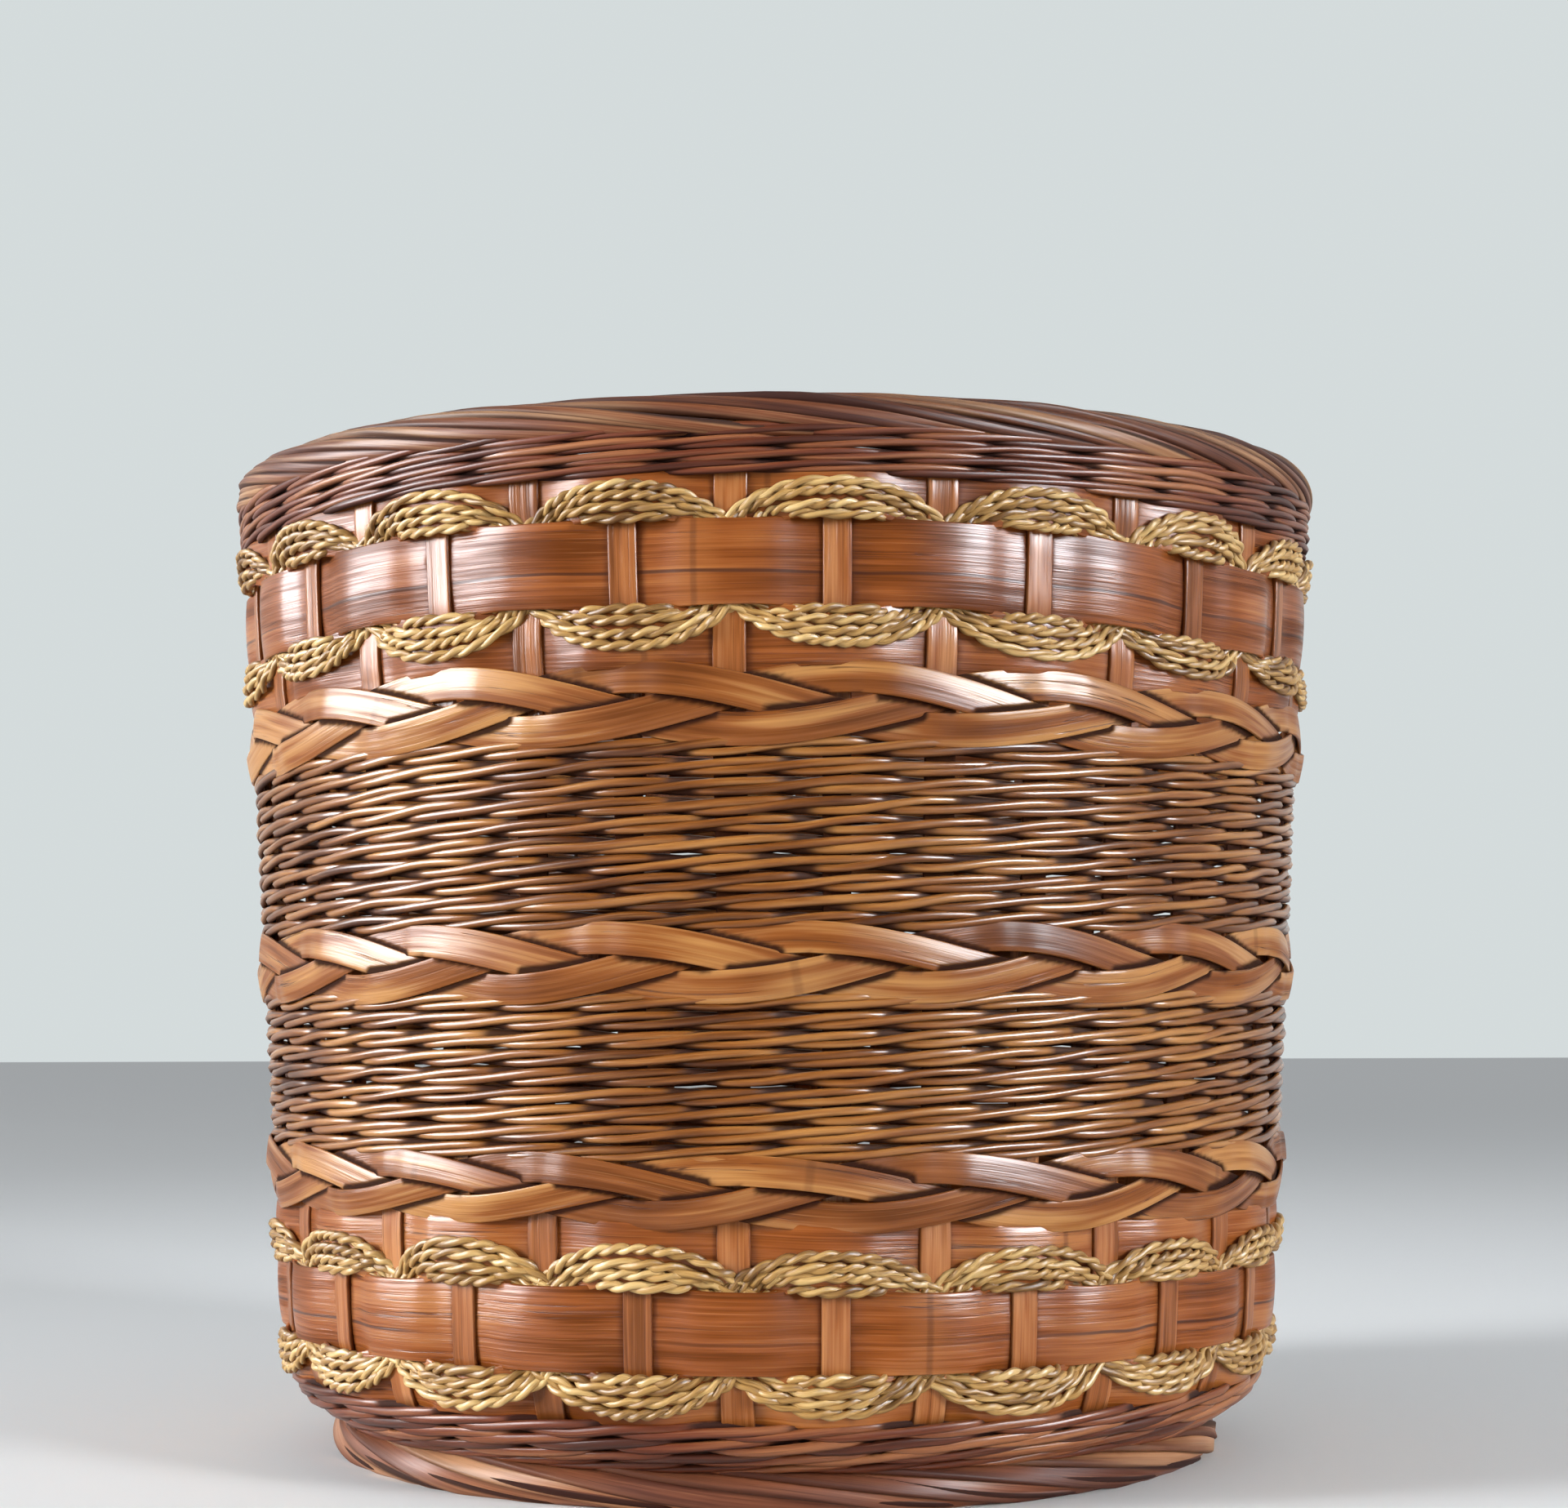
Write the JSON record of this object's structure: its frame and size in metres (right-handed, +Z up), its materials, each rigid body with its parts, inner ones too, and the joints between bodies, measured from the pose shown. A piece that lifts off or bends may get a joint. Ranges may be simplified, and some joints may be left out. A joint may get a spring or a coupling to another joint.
{
  "type": "wicker cachepot",
  "caption": "Round open wicker pot cover with flared wall, woven bands, flat plaits, twined reed, looped seagrass trim, rolled rod rim and ring foot.",
  "frame": {"origin": "centre of the pot on the plane that its foot rests on", "axes": "+Z up along the pot's axis of turning, -Y towards the viewer of the picture, +X to that viewer's right"},
  "size_m": [0.2726, 0.2724, 0.2364],
  "materials": {
    "bamboo_stake": "varnished split bamboo",
    "bamboo_band": "varnished split bamboo",
    "bamboo_plait": "varnished split bamboo, paler",
    "reed": "varnished round reed",
    "dark_rod": "varnished dark stained rod",
    "seagrass": "twisted two-ply seagrass cord",
    "base_splint": "woven base of splints and reed"
  },
  "bodies": {
    "root": {"stake_01": "bamboo_stake", "stake_02": "bamboo_stake", "stake_03": "bamboo_stake", "stake_04": "bamboo_stake", "stake_05": "bamboo_stake", "stake_06": "bamboo_stake", "stake_07": "bamboo_stake", "stake_08": "bamboo_stake", "stake_09": "bamboo_stake", "stake_10": "bamboo_stake", "stake_11": "bamboo_stake", "stake_12": "bamboo_stake", "stake_13": "bamboo_stake", "stake_14": "bamboo_stake", "stake_15": "bamboo_stake", "stake_16": "bamboo_stake", "stake_17": "bamboo_stake", "stake_18": "bamboo_stake", "stake_19": "bamboo_stake", "stake_20": "bamboo_stake", "stake_21": "bamboo_stake", "stake_22": "bamboo_stake", "stake_23": "bamboo_stake", "stake_24": "bamboo_stake", "stake_25": "bamboo_stake", "stake_26": "bamboo_stake", "stake_27": "bamboo_stake", "stake_28": "bamboo_stake", "stake_29": "bamboo_stake", "stake_30": "bamboo_stake", "stake_31": "bamboo_stake", "stake_32": "bamboo_stake", "stake_33": "bamboo_stake", "stake_34": "bamboo_stake", "stake_35": "bamboo_stake", "stake_36": "bamboo_stake", "foot_border": "dark_rod", "base_mat": "base_splint", "bottom_waling": "dark_rod", "lower_hoop_bottom": "bamboo_band", "lower_wide_band": "bamboo_band", "lower_hoop_top": "bamboo_band", "lower_seagrass_coils": "seagrass", "lower_wicker": "reed", "upper_wicker": "reed", "upper_hoop_bottom": "bamboo_band", "upper_wide_band": "bamboo_band", "upper_hoop_top": "bamboo_band", "upper_seagrass_coils": "seagrass", "top_waling": "dark_rod", "rim_border": "dark_rod", "lower_plait_strand_1": "bamboo_plait", "lower_plait_strand_2": "bamboo_plait", "lower_plait_strand_3": "bamboo_plait", "middle_plait_strand_1": "bamboo_plait", "middle_plait_strand_2": "bamboo_plait", "middle_plait_strand_3": "bamboo_plait", "upper_plait_strand_1": "bamboo_plait", "upper_plait_strand_2": "bamboo_plait", "upper_plait_strand_3": "bamboo_plait"}
  },
  "joints": []
}
